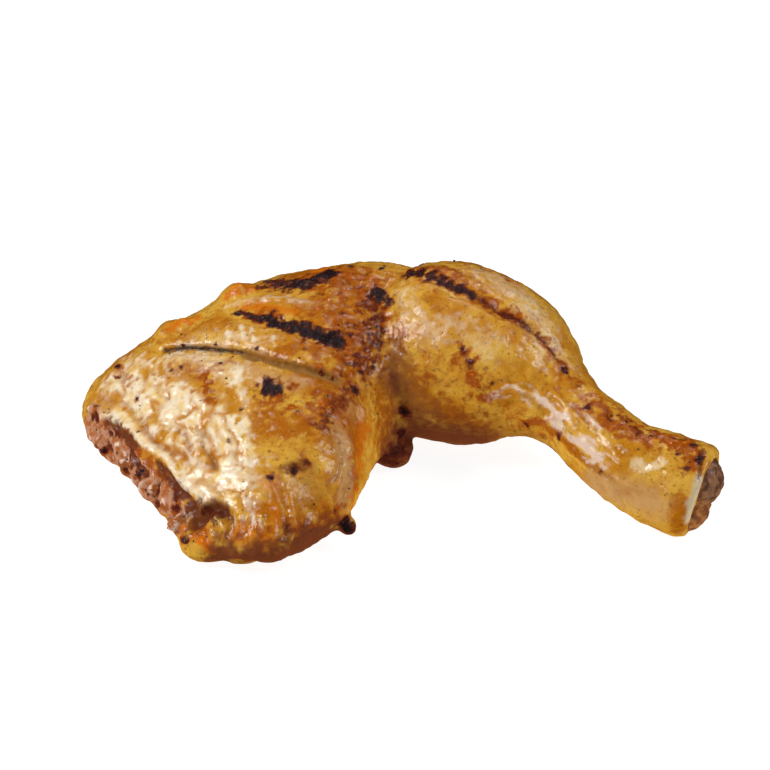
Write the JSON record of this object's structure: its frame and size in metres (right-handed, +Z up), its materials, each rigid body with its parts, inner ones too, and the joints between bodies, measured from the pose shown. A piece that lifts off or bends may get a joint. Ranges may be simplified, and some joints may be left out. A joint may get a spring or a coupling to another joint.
{
  "type": "grilled chicken leg quarter",
  "caption": "Grilled chicken leg quarter, thigh and drumstick in one piece, lying skin side up with the shank's bone end showing.",
  "frame": {"origin": "middle of the leg's bounding box, at the level of the surface it lies on", "axes": "+X from the thigh's cut hip end towards the drumstick's bone end, +Y towards the back of the knee's outer curve, +Z up, square to the surface it lies on"},
  "size_m": [0.1765, 0.1116, 0.0507],
  "materials": {
    "roast_skin": null,
    "bone": null
  },
  "bodies": {
    "root": {"chicken_leg": "roast_skin", "shank_bone": "bone"}
  },
  "joints": []
}
